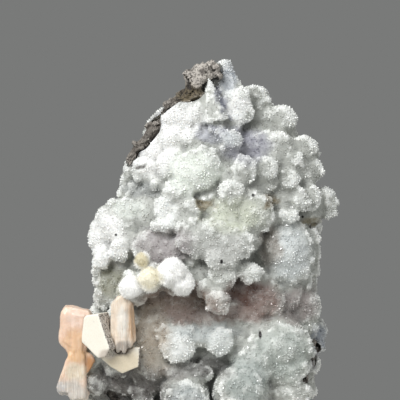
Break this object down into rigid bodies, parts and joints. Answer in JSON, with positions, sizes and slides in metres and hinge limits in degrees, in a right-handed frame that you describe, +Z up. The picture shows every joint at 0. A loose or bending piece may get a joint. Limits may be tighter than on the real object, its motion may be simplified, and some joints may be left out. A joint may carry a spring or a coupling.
{
  "type": "apophyllite cluster",
  "caption": "Tall mineral specimen: basalt coated with knobbly white and grey quartz druse, with mordenite puffs, a stilbite bow-tie and blade, and an apophyllite twin low on one side.",
  "frame": {"origin": "on the flat base, under the middle of the front view", "axes": "+Z up from the base to the crown, +Y away from the viewer through the specimen's thickness, +X to the viewer's right; the druse-coated front faces -Y"},
  "size_m": [0.0836, 0.0505, 0.1195],
  "materials": {
    "basalt": "dull, rough broken rock",
    "druse": "sparkling fine-grained quartz crust, slightly translucent",
    "mordenite": "soft matt needles",
    "stilbite_peach": "pearly to waxy, finely striated",
    "stilbite_cream": "pearly, finely striated",
    "apophyllite": "bright pearly cleavage faces"
  },
  "bodies": {
    "root": {"basalt_matrix": "basalt", "chalcedony_druse": "druse", "mordenite_puffs": "mordenite", "stilbite_bow_tie": "stilbite_peach", "stilbite_blade": "stilbite_cream", "apophyllite_twin": "apophyllite"}
  },
  "joints": []
}
